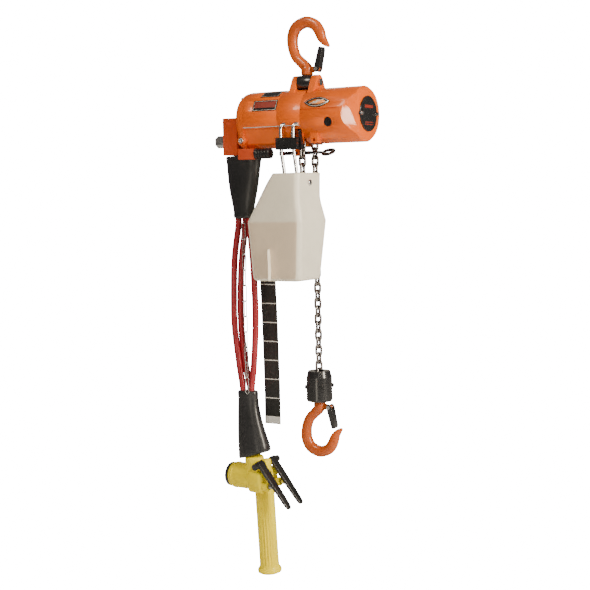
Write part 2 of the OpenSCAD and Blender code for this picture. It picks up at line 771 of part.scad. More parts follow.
module lever_pin() color(black) on_pendant() translate(lever_pivot) {
    bar_y(-48, 96, 4);
    for (y = [-48, 38]) bar_y(y, 10, 8);
}

module finger_lever(side) color(black) on_pendant()
    translate([lever_pivot.x, side * lever_y, lever_pivot.z]) difference() {
    union() {
        bar_y(-12, 24, 9);
        rotate([0, 180 - lever_splay, 0]) hull() {
            translate([-8, -11, 0]) cube([8, 22, 30]);
            translate([-8, 0, lever_l - 8]) rotate([0, 90, 0]) cylinder(h = 7, r = 8);
        }
    }
    bar_y(-20, 40, 4 + clear);
}

module raise_lever() finger_lever(-1);
module lower_lever() finger_lever(1);

module plunger(side) color(steel) on_pendant() translate([0, side * lever_y, -12]) {
    bar_x(50, plunger_tip - 50, 5);
    translate([plunger_tip, 0, 0]) sphere(r = 5);
}

module raise_plunger() plunger(-1);
module lower_plunger() plunger(1);

top_hook();
top_hook_nut();
top_latch();
top_latch_spring();
suspension_yoke();
suspension_pins();
centre_frame();
motor_housing();
end_cover();
gear_case();
end_plate();
label_plates();
case_screws();
motor_cylinder();
motor_end_plates();
motor_bearings();
motor_rotor();
rotor_vanes();
ring_gear();
planet_carrier();
planet_a();
planet_b();
planet_c();
load_sheave();
sheave_bearings();
wheel_chain();
brake_disc();
brake_piston();
brake_springs();
chain_guide();
valve_block();
inlet_fitting();
silencer();
limit_lever();
hanger_wires();
clamp_plate();
container();
load_chain();
slack_chain();
stored_chain();
block_shell_front();
block_shell_back();
block_bolts();
load_hook();
load_hook_nut();
load_latch();
load_latch_spring();
hoses();
upper_boot();
lower_boot();
strain_chain();
tag_strip();
pendant_body();
pendant_cap();
raise_lever();
lower_lever();
lever_pin();
raise_plunger();
lower_plunger();
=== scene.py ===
"""Looks of the air chain hoist. Lengths in the helpers are millimetres, the scene is in metres."""
import json
import math

import bmesh
import bpy
from mathutils import Matrix, Vector


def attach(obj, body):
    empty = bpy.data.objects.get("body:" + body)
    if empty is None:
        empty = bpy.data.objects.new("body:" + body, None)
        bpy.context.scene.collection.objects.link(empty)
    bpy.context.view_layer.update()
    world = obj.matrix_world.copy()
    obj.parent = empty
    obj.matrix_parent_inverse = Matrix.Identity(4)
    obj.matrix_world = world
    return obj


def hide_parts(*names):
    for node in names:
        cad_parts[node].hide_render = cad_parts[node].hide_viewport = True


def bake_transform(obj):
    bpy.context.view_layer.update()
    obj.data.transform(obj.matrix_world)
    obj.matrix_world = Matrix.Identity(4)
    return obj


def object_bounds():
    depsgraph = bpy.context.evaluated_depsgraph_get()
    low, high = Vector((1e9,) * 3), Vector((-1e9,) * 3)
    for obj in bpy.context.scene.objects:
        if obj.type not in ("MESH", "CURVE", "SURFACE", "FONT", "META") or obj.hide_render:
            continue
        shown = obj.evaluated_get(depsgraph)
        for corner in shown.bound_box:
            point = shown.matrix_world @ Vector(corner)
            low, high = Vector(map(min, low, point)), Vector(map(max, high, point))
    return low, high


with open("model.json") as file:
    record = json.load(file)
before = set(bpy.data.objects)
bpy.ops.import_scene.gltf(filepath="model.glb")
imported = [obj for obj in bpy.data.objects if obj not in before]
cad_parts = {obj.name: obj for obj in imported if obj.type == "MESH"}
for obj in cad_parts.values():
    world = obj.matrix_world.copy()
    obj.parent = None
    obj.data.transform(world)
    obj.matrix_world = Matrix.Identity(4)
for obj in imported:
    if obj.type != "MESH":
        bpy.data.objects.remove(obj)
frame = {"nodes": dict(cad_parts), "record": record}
cad_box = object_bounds()
MM = 0.001
WHEEL_R = 30.3986      # the loaded strand hangs this far behind the hook's plane
LOAD_BOWL_Z = -958.5   # centre of the load hook's bowl
AXIS_Z = -184          # height of the casing's axis
HOSE_Y = -20           # the hoses' plane
PENDANT_AT = Vector((-175, HOSE_Y, -1065))  # on the axis of the pendant's cross barrel


# ---------- materials ----------

def node(tree, kind, **inputs):
    """A shader node with some of its inputs set."""
    n = tree.nodes.new(kind)
    for key, value in inputs.items():
        n.inputs[key.replace("_", " ")].default_value = value
    return n


def noise(tree, scale, detail, coords):
    n = node(tree, "ShaderNodeTexNoise", Scale=scale, Detail=detail)
    tree.links.new(coords, n.inputs["Vector"])
    return n


def ramp(tree, source, low, high, first=0.0, last=1.0):
    """Maps a value from low..high to first..last."""
    r = tree.nodes.new("ShaderNodeMapRange")
    r.inputs["From Min"].default_value = low
    r.inputs["From Max"].default_value = high
    r.inputs["To Min"].default_value = first
    r.inputs["To Max"].default_value = last
    tree.links.new(source, r.inputs["Value"])
    return r.outputs["Result"]


def blend_colour(tree, factor, a, b):
    """Goes from a to b with the factor; each is a colour or a socket."""
    m = tree.nodes.new("ShaderNodeMix")
    m.data_type = "RGBA"
    for socket, value in ((m.inputs["A"], a), (m.inputs["B"], b)):
        if isinstance(value, bpy.types.NodeSocket):
            tree.links.new(value, socket)
        else:
            socket.default_value = (*value, 1)
    tree.links.new(factor, m.inputs["Factor"])
    return m.outputs["Result"]


def surface(name, colour, rough, metal=0.0, coat=0.0, grain=(900, 0.05), vary=0.12, wear=None,
            dirt=0.25, spec=0.5, gloss=0.12):
    """Procedural surface: two sizes of colour variation, darkening in hollows as grime and painted shade,
    wear on edges, fine bump.
    """
    m = bpy.data.materials.new(name)
    m.use_nodes = True
    t = m.node_tree
    b = t.nodes["Principled BSDF"]
    coords = t.nodes.new("ShaderNodeTexCoord").outputs["Object"]
    broad = noise(t, 14, 5, coords)
    fine = noise(t, 160, 6, coords)
    dark = tuple(c * (1 - vary) for c in colour)
    light = tuple(min(1, c * (1 + vary) + 0.01) for c in colour)
    c = blend_colour(t, ramp(t, broad.outputs["Fac"], 0.3, 0.7), dark, light)
    c = blend_colour(t, ramp(t, fine.outputs["Fac"], 0.55, 0.75, 0, vary * 1.5), c, dark)
    pointy = t.nodes.new("ShaderNodeNewGeometry").outputs["Pointiness"]
    # darkening in hollows: grime and painted shade
    if dirt:
        hollow = ramp(t, pointy, 0.40, 0.49, dirt, 0)
        c = blend_colour(t, hollow, c, (0.02, 0.018, 0.015))
    if wear:
        edge = ramp(t, pointy, 0.53, 0.60)
        patch = ramp(t, fine.outputs["Fac"], 0.42, 0.58)
        both = t.nodes.new("ShaderNodeMath")
        both.operation = "MULTIPLY"
        t.links.new(edge, both.inputs[0])
        t.links.new(patch, both.inputs[1])
        c = blend_colour(t, both.outputs[0], c, wear)
    t.links.new(c, b.inputs["Base Color"])
    t.links.new(ramp(t, fine.outputs["Fac"], 0.3, 0.7, max(0.03, rough - 0.07), min(1, rough + 0.1)),
                b.inputs["Roughness"])
    b.inputs["Metallic"].default_value = metal
    b.inputs["Coat Weight"].default_value = coat
    b.inputs["Coat Roughness"].default_value = gloss
    b.inputs["Specular IOR Level"].default_value = spec
    bump = node(t, "ShaderNodeBump", Strength=grain[1], Distance=0.0008)
    t.links.new(noise(t, grain[0], 3, coords).outputs["Fac"], bump.inputs["Height"])
    t.links.new(bump.outputs["Normal"], b.inputs["Normal"])
    return m


FINISHES = {}  # every finish by name


def finish(name, colour, rough, **details):
    FINISHES[name] = surface(name, colour, rough, **details)


finish("orange_paint", (0.80, 0.125, 0.0), 0.32, coat=0.35, gloss=0.05, spec=0.25, grain=(700, 0.10),
       vary=0.07, dirt=0)
finish("hook_paint", (0.54, 0.088, 0.002), 0.32, coat=0.25, grain=(260, 0.3), vary=0.25,
       wear=(0.30, 0.07, 0.01))
finish("red_orange_paint", (0.52, 0.055, 0.006), 0.36, coat=0.1, grain=(600, 0.12))
finish("black_paint", (0.006, 0.006, 0.008), 0.28, coat=0.7, gloss=0.1, grain=(500, 0.06), vary=0.05, dirt=0)
finish("zinc_steel", (0.55, 0.55, 0.56), 0.26, metal=1, grain=(900, 0.08))
finish("chain_steel", (0.30, 0.28, 0.27), 0.20, metal=1, grain=(400, 0.18), vary=0.2, wear=(0.5, 0.5, 0.5),
       dirt=0.5)
finish("machined_steel", (0.42, 0.42, 0.43), 0.32, metal=1)
finish("chrome", (0.78, 0.78, 0.80), 0.12, metal=1, dirt=0.1, vary=0.04)
finish("machined_aluminium", (0.68, 0.68, 0.70), 0.34, metal=1)
finish("vane_resin", (0.20, 0.11, 0.06), 0.6)
finish("plate_black", (0.006, 0.006, 0.008), 0.22, coat=0.4, grain=(800, 0.04))
finish("cream_plastic", (0.88, 0.83, 0.71), 0.40, coat=0.1, grain=(500, 0.10), vary=0.04, dirt=0)
finish("yellow_plastic", (1.0, 0.78, 0.0), 0.34, coat=0.1, gloss=0.06, spec=0.2, grain=(700, 0.08),
       vary=0.04, dirt=0.1)
finish("black_plastic", (0.005, 0.005, 0.006), 0.36, coat=0.3, gloss=0.2, grain=(900, 0.12))
finish("boot_rubber", (0.007, 0.007, 0.010), 0.40, coat=0.4, gloss=0.22, grain=(420, 0.35))
finish("hose_rubber", (0.33, 0.005, 0.014), 0.34, coat=0.35, grain=(500, 0.08))
finish("strip_plastic", (0.018, 0.018, 0.018), 0.38)
# bright marks of the badge and plates, and the painted highlight along the ledge
finish("mark_silver", (0.80, 0.77, 0.70), 0.3, metal=0.5)
finish("mark_red", (0.26, 0.022, 0.010), 0.35, coat=0.2)
finish("mark_orange", (0.80, 0.22, 0.02), 0.35, coat=0.2)

# every CAD node takes its material slot's finish
for part in frame["record"]["subparts"]:
    o = frame["nodes"][part["node"]]
    o.data.materials.clear()
    o.data.materials.append(FINISHES[part["material_slot"]])
# the bolts of the bottom block are painted with it
frame["nodes"]["block_bolts"].data.materials[0] = FINISHES["black_paint"]


def tint(material, factor, colour):
    """Mixes a colour over a finish by a factor socket."""
    base = material.node_tree.nodes["Principled BSDF"].inputs["Base Color"]
    old = base.links[0].from_socket
    material.node_tree.links.new(blend_colour(material.node_tree, factor, old, colour), base)


def split_vector(tree, vector):
    n = tree.nodes.new("ShaderNodeSeparateXYZ")
    tree.links.new(vector, n.inputs[0])
    return n.outputs


def silencer_finish(box_end=-0.113):
    """Red-orange on the box, black on the can past its end."""
    m = FINISHES["red_orange_paint"].copy()
    m.name = "red_orange_box_and_black_can"
    t = m.node_tree
    place = split_vector(t, t.nodes.new("ShaderNodeNewGeometry").outputs["Position"])
    tint(m, ramp(t, place["X"], box_end - 0.0002, box_end + 0.0002), (0.010, 0.010, 0.012))
    return m


frame["nodes"]["silencer"].data.materials[0] = silencer_finish()


def soften(name, width, angle=32):
    """Rounds the sharp edges of a CAD node with modifiers; its mesh is left alone."""
    o = frame["nodes"][name]
    weld = o.modifiers.new("weld", "WELD")
    weld.merge_threshold = 2e-5
    bevel = o.modifiers.new("bevel", "BEVEL")
    bevel.width = width * MM
    bevel.segments = 2
    bevel.limit_method = "ANGLE"
    bevel.angle_limit = math.radians(angle)
    bevel.harden_normals = True


for name, width in (("centre_frame", 1.6), ("motor_housing", 1.4), ("gear_case", 1.6), ("valve_block", 1.2),
                    ("silencer", 1.0), ("end_plate", 0.8), ("clamp_plate", 1.0), ("suspension_yoke", 1.0),
                    ("inlet_fitting", 0.6)):
    soften(name, width)


# ---------- mesh helpers ----------

def piece(name, verts, faces, material, body, nodes=(), slot=None, smooth=True, levels=0, bevel=0.0):
    """A mesh piece from points in millimetres. body None leaves it unattached."""
    mesh = bpy.data.meshes.new(name)
    mesh.from_pydata([tuple(c * MM for c in v) for v in verts], [], faces)
    mesh.validate()
    bm = bmesh.new()
    bm.from_mesh(mesh)
    bmesh.ops.recalc_face_normals(bm, faces=bm.faces)
    bm.to_mesh(mesh)
    bm.free()
    o = bpy.data.objects.new(name, mesh)
    bpy.context.collection.objects.link(o)
    mesh.materials.append(FINISHES[material] if isinstance(material, str) else material)
    for p in mesh.polygons:
        p.use_smooth = smooth
    if bevel:
        b = o.modifiers.new("bevel", "BEVEL")
        b.width = bevel * MM
        b.segments = 3
        b.limit_method = "ANGLE"
        b.angle_limit = math.radians(35)
        b.harden_normals = True
    if levels:
        s = o.modifiers.new("subdivide", "SUBSURF")
        s.levels = s.render_levels = levels
    if nodes:
        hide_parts(*nodes)
    if body:
        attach(o, body)
    return o


def loft(rings, closed_ends=True):
    """Points and faces of a skin through rings of equal length."""
    n = len(rings[0])
    verts = [v for ring in rings for v in ring]
    faces = [(i * n + k, i * n + (k + 1) % n, (i + 1) * n + (k + 1) % n, (i + 1) * n + k)
             for i in range(len(rings) - 1) for k in range(n)]
    if closed_ends:
        faces += [tuple(range(n))[::-1], tuple(range(len(verts) - n, len(verts)))]
    return verts, faces


def catmull(points, steps):
    """A smooth run of tuples through the given tuples."""
    out = []
    pts = [points[0]] + list(points) + [points[-1]]
    for i in range(1, len(pts) - 2):
        for s in range(steps):
            t = s / steps
            out.append(tuple(
                0.5 * (2 * b + (c - a) * t + (2 * a - 5 * b + 4 * c - d) * t * t
                       + (3 * b - a - 3 * c + d) * t ** 3)
                for a, b, c, d in zip(pts[i - 1], pts[i], pts[i + 1], pts[i + 2])))
    return out + [tuple(points[-1])]


def sweep(path, sizes, square=2.0, sides=20, across=Vector((0, 1, 0))):
    """A tube along path; sizes are (half width in the bend's plane, half thickness along across)."""
    rings = []
    for i, p in enumerate(path):
        p = Vector(p)
        ahead = Vector(path[min(i + 1, len(path) - 1)]) - Vector(path[max(i - 1, 0)])
        side = ahead.cross(across).normalized()
        other = side.cross(ahead).normalized()
        a, b = sizes[i]
        ring = []
        for k in range(sides):
            u, v = math.cos(2 * math.pi * k / sides), math.sin(2 * math.pi * k / sides)
            fu = math.copysign(abs(u) ** (2 / square), u)
            fv = math.copysign(abs(v) ** (2 / square), v)
            ring.append(tuple(p + side * (a * fu) + other * (b * fv)))
        rings.append(ring)
    return loft(rings)


def lathe(profile, base, axis="z", sides=40):
    """A turned piece; profile is [(radius, height)] from one end to the other."""
    rings = []
    for r, h in profile:
        ring = []
        for k in range(sides):
            c, s = r * math.cos(2 * math.pi * k / sides), r * math.sin(2 * math.pi * k / sides)
            ring.append({"z": (c, s, h), "x": (h, c, s), "y": (c, h, s)}[axis])
        rings.append(ring)
    verts, faces = loft(rings)
    return [tuple(Vector(v) + Vector(base)) for v in verts], faces


def merge(*meshes):
    """Several meshes as one."""
    verts, faces = [], []
    for v, f in meshes:
        faces += [tuple(i + len(verts) for i in face) for face in f]
        verts += list(v)
    return verts, faces


def slab(outline, thickness, place):
    """A prism: outline in its own plane, extruded by thickness, placed by a matrix."""
    verts = [tuple(place @ Vector((x, y, z))) for z in (0, thickness) for x, y in outline]
    n = len(outline)
    faces = [tuple(range(n))[::-1], tuple(range(n, 2 * n))]
    faces += [(k, (k + 1) % n, n + (k + 1) % n, n + k) for k in range(n)]
    return verts, faces


def round_rect(x0, x1, y0, y1, r, z, steps=6):
    """A level ring round a rectangle with rounded corners."""
    ring = []
    for cx, cy, start in ((x1 - r, y1 - r, 0), (x0 + r, y1 - r, 90), (x0 + r, y0 + r, 180),
                          (x1 - r, y0 + r, 270)):
        for k in range(steps + 1):
            a = math.radians(start + 90 * k / steps)
            ring.append((cx + r * math.cos(a), cy + r * math.sin(a), z))
    return ring


# ---------- hooks ----------

def hook(name, node_name, at, up):
    """Forged hook round its bowl centre; up is 1 for a shank above the bowl, -1 for below."""
    keys = [  # x, z, half width, half thickness
        (0, 80, 13.5, 13.5), (-2, 68, 12.8, 12.5), (-14, 56, 12.0, 11.8), (-28, 42, 11.8, 11),
        (-36.5, 22, 12.2, 11), (-38.5, 0, 13.2, 11), (-34.5, -17, 13.6, 11), (-23, -31, 13.8, 11),
        (0, -38.5, 13.6, 11), (22, -31.5, 13.4, 11), (34.5, -17, 12.8, 11), (40, -3, 11.6, 10.6),
        (45.5, 7, 9.4, 9.2), (53, 15.5, 6.8, 7.2), (59.5, 20.8, 4.0, 4.6), (62.4, 22.6, 1.2, 1.4)]
    run = catmull(keys, 5)
    path = [(at[0] + x, at[1], at[2] + up * z) for x, z, _, _ in run]
    forging = sweep(path, [(a, b) for _, _, a, b in run], square=2.7, sides=24)
    top = 109 if up > 0 else 108  # the load hook's shank is a little longer
    neck = lathe([(8, top), (8, 86.2), (12.5, 86), (14, 84.5), (14, 72), (13.2, 66), (9, 62)], (0, 0, 0))
    neck = [(at[0] + x, at[1] + y, at[2] + up * z) for x, y, z in neck[0]], neck[1]
    plane = Matrix(((1, 0, 0, at[0]), (0, 0, 1, at[1] - 4), (0, up, 0, at[2]), (0, 0, 0, 1)))
    lug_outline = [(4, 65), (24, 67.5), (31, 68), (34.2, 71), (34.2, 75), (31, 78), (24, 78.3), (4, 83)]
    latch_lug = slab(lug_outline, 8, plane)
    piece(name, *merge(forging, neck, latch_lug), "hook_paint", node_name, nodes=(node_name,))


hook("top_hook_forging", "top_hook", (0, 0, 0), -1)
hook("load_hook_forging", "load_hook", (0, WHEEL_R, LOAD_BOWL_Z), 1)


# ---------- casing details ----------

def on_front(turn, depth):
    """Plane against the casing's front: x is +X, y goes round upwards and thickness faces out."""
    flat = Matrix(((1, 0, 0, 0), (0, 0, -1, -depth), (0, 1, 0, 0), (0, 0, 0, 1)))
    return Matrix.Translation((0, 0, AXIS_Z)) @ Matrix.Rotation(math.radians(-turn), 4, "X") @ flat


def lens(cx, grow, flank=52, half=13, points=16):
    """Blunt oval of the badge: two wide flanks that meet in points."""
    r = flank + grow
    reach = math.acos((flank - half) / r)
    out = []
    for centre, start in ((half - flank, math.pi / 2), (flank - half, -math.pi / 2)):
        for k in range(points):
            a = start + reach * (1 - 2 * k / points)
            out.append((cx + r * math.cos(a), centre + r * math.sin(a)))
    return out[::-1]


def rectangle(x0, x1, y0, y1):
    return [(x0, y0), (x1, y0), (x1, y1), (x0, y1)]


def badge():
    """Oval badge let into the gear case: rim, field, inlay and three slanted bars."""
    place = on_front(27, 65.7)
    for name, grow, height, material in (("badge_rim", -1.6, 0.25, "mark_silver"),
                                         ("badge_field", -3.0, 0.45, "plate_black"),
                                         ("badge_inlay", -6.4, 0.62, "mark_orange")):
        piece(name, *slab(lens(58, grow), height, place), material, "casing")
    bars = [slab([(x, y), (x + 20, y + 1.4), (x + 20, y + 3.4), (x, y + 2.0)], 0.8, place)
            for x, y in ((40, -4.5), (48, -0.6), (56, 2.6))]
    piece("badge_bars", *merge(*bars), "mark_silver", "casing", smooth=False)


def plate_rim(name, place, x0, x1, height, inset=1.6, width=0.8):
    """Four thin bright bars just inside the edge of a flat plate."""
    x0, x1, y0, y1 = x0 + inset, x1 - inset, -height / 2 + inset, height / 2 - inset
    bars = [rectangle(x0, x1, y0, y0 + width), rectangle(x0, x1, y1 - width, y1),
            rectangle(x0, x0 + width, y0 + width, y1 - width),
            rectangle(x1 - width, x1, y0 + width, y1 - width)]
    rim = [slab(bar, 0.25, place) for bar in bars]
    piece(name, *merge(*rim), "mark_silver", "casing", smooth=False)


def flat_plates():
    """Rims of the side and top plates, and the side plate's red field."""
    depth = 64.6
    side = on_front(26, depth)
    plate_rim("side_plate_rim", side, -117, -51, 28)
    field = slab(rectangle(-113, -55, -6, 10), 0.3, side)
    piece("side_plate_field", *field, "mark_red", "casing", smooth=False, bevel=0.1)
    plate_rim("top_plate_rim", on_front(60, depth), -105, -55, 26)


def end_plate_marks():
    """Black disc on the round end plate, with three red bars."""
    face = Matrix(((0, 0, 1, 163.1), (1, 0, 0, 0), (0, 1, 0, AXIS_Z), (0, 0, 0, 1)))
    r, sides = 33.2, 56
    turns = [2 * math.pi * k / sides for k in range(sides)]
    disc = [(r * math.cos(a), r * math.sin(a)) for a in turns]
    piece("end_plate_field", *slab(disc, 0.4, face), "plate_black", "casing", smooth=False)
    bars = [slab(rectangle(-20, 20, z, z + height), 0.6, face) for z, height in ((13, 7), (-21, 2), (-26, 2))]
    piece("end_plate_bars", *merge(*bars), "mark_red", "casing", smooth=False)


def painted_ledge_highlight():
    """Painted highlight: a bright strip on the edge along the front of the motor housing and the frame."""
    place = Matrix(((1, 0, 0, 0), (0, 0, -1, -60.6), (0, 1, 0, AXIS_Z - 22), (0, 0, 0, 1)))
    line = slab(rectangle(-146, 12, -1.1, 1.1), 0.8, place)
    piece("painted_ledge_highlight", *line, "mark_silver", "casing", bevel=0.3)


def cover_bolt():
    """Boss on the end cover, turned a little outwards, and the bolt in it."""
    z = AXIS_Z - 52
    verts, faces = lathe([(3, -1), (10.5, -1), (12.5, -2.5), (12.5, -9), (11, -11), (8.6, -11.4), (8.2, -9.6),
                          (0.1, -9.6)], (0, 0, 0), axis="y")
    place = Matrix.Translation((-154, -45, z)) @ Matrix.Rotation(math.radians(-14), 4, "Z")
    piece("cover_boss", [tuple(place @ Vector(v)) for v in verts], faces, "orange_paint", "casing")
    r = 6.6
    bolt = lathe([(0.1, 0), (r, 0), (r, -3.4), (r - 1.2, -4.4), (r - 3, -4.6), (r - 3.2, -3.4), (0.1, -3.4)],
                 (-154.6, -56, z), axis="y", sides=28)
    piece("cover_bolt", *bolt, "zinc_steel", "casing")


def hanger_wires(wire_r=4.4, rod_y=-65, rod_z=-340):
    """Two bent wires, and the cross rod of the container with the disc on its end."""
    meshes = []
    for x in (-37, -3):
        path = catmull([(x + 15, -48, -203.5), (x + 9, -59, -201), (x + 2, -65, -206), (x, -66, -216),
                        (x, -66, -250), (x + 2, -66, -275), (x + 7, -65.5, -312), (x + 9, -65, -338)], 6)
        meshes.append(sweep(path, [(wire_r, wire_r)] * len(path), sides=16))
    meshes.append(sweep([(x, rod_y, rod_z) for x in (-60, -40, 20, 40)], [(3.4, 3.4)] * 4, sides=14))
    meshes.append(lathe([(0.1, 0), (6.4, 0), (7, 0.5), (7, 1.6), (6, 2.4), (0.1, 2.6)], (39, rod_y, rod_z),
                        axis="x", sides=28))
    piece("hanger_wire_pair", *merge(*meshes), "chrome", "casing", nodes=("hanger_wires",))


def ring_mesh(at, r, tube, tilt=0.0, sides=36, turns=14):
    """A closed ring round a point; tilt raises its far side."""
    rings = []
    for k in range(sides):
        a = 2 * math.pi * k / sides
        ring = []
        for q in range(turns):
            b = 2 * math.pi * q / turns
            reach = r + tube * math.cos(b)
            ring.append((at[0] + reach * math.cos(a), at[1] + reach * math.sin(a),
                         at[2] + tube * math.sin(b) + tilt * reach * math.sin(a)))
        rings.append(ring)
    verts, faces = loft(rings, closed_ends=False)
    last = (sides - 1) * turns
    faces += [(last + q, last + (q + 1) % turns, (q + 1) % turns, q) for q in range(turns)]
    return verts, faces


def limit_lever(z=-268, thickness=9):
    """Travel-limit lever: flat bar, hub, eye round the load chain and a tilted pull ring."""
    place = Matrix(((1, 0, 0, 0), (0, 1, 0, WHEEL_R), (0, 0, 1, z - thickness / 2), (0, 0, 0, 1)))
    bar = slab(rectangle(-98, -12, -5.5, 5.5), thickness, place)
    hub = lathe([(0.1, -15.5), (6, -15.5), (7, -14.5), (7, 14.5), (6, 15.5), (0.1, 15.5)], (-42, WHEEL_R, z),
                axis="y")
    eye = ring_mesh((0, WHEEL_R, z), 16.5, 3.4)
    pull = ring_mesh((37, WHEEL_R, z), 13.5, 3.8, tilt=0.42)
    piece("limit_bar", *merge(bar, hub, eye, pull), "black_paint", "limit_lever", nodes=("limit_lever",),
          bevel=0.6)


badge()
flat_plates()
end_plate_marks()
painted_ledge_highlight()
cover_bolt()
hanger_wires()
limit_lever()

# ---------- latches ----------

def latch(name, node_name, at, up):
    """Folded sheet latch of a hook round its bowl centre: two flanges and an outer web."""
    hinge_x, hinge_z, sheet = 29, 73, 1.8
    down, outer = Vector((0.21, -0.978)), Vector((0.978, 0.21))

    def outline(points):
        return [tuple(down * along_it + outer * off) for along_it, off in points]

    def plane(y):
        return Matrix(((1, 0, 0, at[0] + hinge_x), (0, 0, 1, at[1] + y), (0, up, 0, at[2] + hinge_z * up),
                       (0, 0, 0, 1)))

    flange = outline([(-6.5, -3), (-7.5, 1), (-6.5, 5), (0, 8.2), (46, 7.4), (52, 5), (53, 0), (50, -3.6),
                      (8, -6.2), (0, -7)])
    web = outline([(6, 6.4), (46, 5.6), (52.6, 3), (52.2, 4.8), (46, 7.4), (6, 8.2)])
    folded = merge(slab(flange, sheet, plane(-9)), slab(flange, sheet, plane(7.2)),
                   slab(web, 16.4, plane(-8.2)))
    piece(name, *folded, "black_paint", node_name, nodes=(node_name,), bevel=0.5)


latch("top_latch_sheet", "top_latch", (0, 0, 0), -1)
latch("load_latch_sheet", "load_latch", (0, WHEEL_R, LOAD_BOWL_Z), 1)

# ---------- container ----------

BIN_TOP, BIN_FOLD, BIN_FLOOR, BIN_WALL = -317, -430, -572, 2.8
# the container's four sides, each as (height, place) from the top down
BIN_X0 = [(BIN_TOP, -38), (-333, -49), (BIN_FOLD, -104.5), (BIN_FLOOR, -99.5)]
BIN_X1 = [(BIN_TOP, 37.5), (-380, 38.5), (BIN_FOLD, 46), (BIN_FLOOR, 33)]
BIN_Y0 = [(BIN_TOP, -114), (-335, -118), (BIN_FOLD, -124), (BIN_FLOOR, -112)]
BIN_Y1 = [(BIN_TOP, -2), (-377, -6), (BIN_FOLD, 8), (BIN_FLOOR, -4)]


def along(table, z):
    """Place of a side at a height."""
    for (za, a), (zb, b) in zip(table, table[1:]):
        if z >= zb:
            return a + (b - a) * (za - z) / (za - zb)
    return table[-1][1]


def cream_with_painted_front_shade():
    """Cream plastic with painted shade: darker on the front, mostly below the fold."""
    m = FINISHES["cream_plastic"].copy()
    m.name = "cream_plastic_with_painted_front_shade"
    t = m.node_tree
    geometry = t.nodes.new("ShaderNodeNewGeometry")
    facing = split_vector(t, geometry.outputs["Normal"])
    place = split_vector(t, geometry.outputs["Position"])
    both = t.nodes.new("ShaderNodeMath")
    both.operation = "MULTIPLY"
    t.links.new(ramp(t, facing["Y"], -0.97, -0.90, 1, 0), both.inputs[0])
    t.links.new(ramp(t, place["Z"], BIN_FOLD * MM - 0.004, BIN_FOLD * MM + 0.002, 1, 0.25), both.inputs[1])
    # painted shade: darker tan on the front faces, strongest below the fold
    tint(m, both.outputs[0], (0.72, 0.59, 0.45))
    return m


def chain_bin(paint):
    """Open-topped skin with a lip, a fold nearly half way down and a rounded floor."""
    outer, inner = [], []
    for z in (BIN_TOP, -322, -335, -350, -365, -377, -395, -415, -426, BIN_FOLD, -434, -450, -480, -510, -540,
              -559, -568, BIN_FLOOR):
        round_in = 0 if z > -562 else (5.5 if z < -570 else 1.6)
        lip = 1.0 if z > -320 else 0.0
        x0, x1, y0, y1 = (along(side, z) for side in (BIN_X0, BIN_X1, BIN_Y0, BIN_Y1))
        outer.append(round_rect(x0 + round_in - lip, x1 - round_in + lip * 0.4, y0 + round_in - lip,
                                y1 - round_in + lip * 0.5, 15 - round_in, z))
        if z > -568:
            inner.append(round_rect(x0 + BIN_WALL, x1 - BIN_WALL, y0 + BIN_WALL, y1 - BIN_WALL, 12.5, z))
    inner[-1] = [(x, y, BIN_FLOOR + 6) for x, y, _ in inner[-1]]
    piece("chain_bin", *loft(outer[::-1] + inner), paint, "container", nodes=("container",), levels=1,
          slot="cream_plastic")


def bin_rib(paint):
    """Thin upright rib low on the front."""
    rings = [round_rect(-44 - wider, -42 + wider, -126 + (z - BIN_FLOOR) * -0.02 - sunk, -114, 0.9, z)
             for z, wider, sunk in ((-568, -0.1, -1.5), (-565, 0, 0), (-500, 0, 0), (-494, -0.1, -2.5))]
    piece("bin_rib", *loft(rings), paint, "container", slot="cream_plastic")


bin_paint_with_front_shade = cream_with_painted_front_shade()
chain_bin(bin_paint_with_front_shade)
bin_rib(bin_paint_with_front_shade)

# ---------- boots and hoses ----------

def oval(cx, z, a, b, lean=0.0, power=2.4, sides=36, ripple=0.012):
    """One slightly wavy ring of a boot in the hoses' plane; lean slants it."""
    ring = []
    for k in range(sides):
        u, v = math.cos(2 * math.pi * k / sides), math.sin(2 * math.pi * k / sides)
        f = 1 + ripple * math.sin(3 * 2 * math.pi * k / sides + z * 0.05)
        x = a * f * math.copysign(abs(u) ** (2 / power), u)
        y = b * f * math.copysign(abs(v) ** (2 / power), v)
        ring.append((cx + x, HOSE_Y + y, z + lean * x))
    return ring


def upper_boot():
    """Sleeve below the valve block, left unattached to any body."""
    keys = [  # z, centre x, half width, half depth
        (-270.6, -172, 46.5, 22), (-274, -171.5, 49, 23), (-279, -171.5, 49, 23), (-284, -171.5, 47, 22),
        (-310, -172.5, 44.5, 21), (-340, -174, 41, 20), (-366, -175, 36, 18.5), (-392, -175, 30, 16.5),
        (-409, -175, 26.5, 15.8), (-413, -175, 27.6, 16.4), (-422, -175, 27.4, 16.2), (-424, -175, 24, 14)]
    rings = [oval(cx, z, a, b) for z, cx, a, b in keys]
    sleeve = piece("upper_boot_sleeve", *loft(rings), "boot_rubber", None, nodes=("upper_boot",), levels=1)
    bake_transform(sleeve)


def lower_boot():
    """Sleeve over the pendant's neck, widening down to a slanted rim."""
    keys = [  # z, centre x, half width, half depth, lean
        (-849, -175.5, 25, 15, 0), (-851, -175.5, 27.5, 16.8, 0), (-862, -175.5, 27.5, 16.8, 0),
        (-866, -175.5, 26.4, 16, 0), (-894, -174.5, 28.5, 18, 0.02), (-925, -171, 32, 20.5, 0.06),
        (-955, -167, 36.5, 23.5, 0.12), (-982, -162.5, 40.5, 26, 0.2), (-1000, -160, 42.5, 27.5, 0.27),
        (-1009, -159.5, 42.5, 27.5, 0.29), (-1010.5, -159.5, 38, 25, 0.29)]
    rings = [oval(cx, z, a, b, lean) for z, cx, a, b, lean in keys]
    piece("lower_boot_sleeve", *loft(rings), "boot_rubber", "pendant", nodes=("lower_boot",), levels=1)


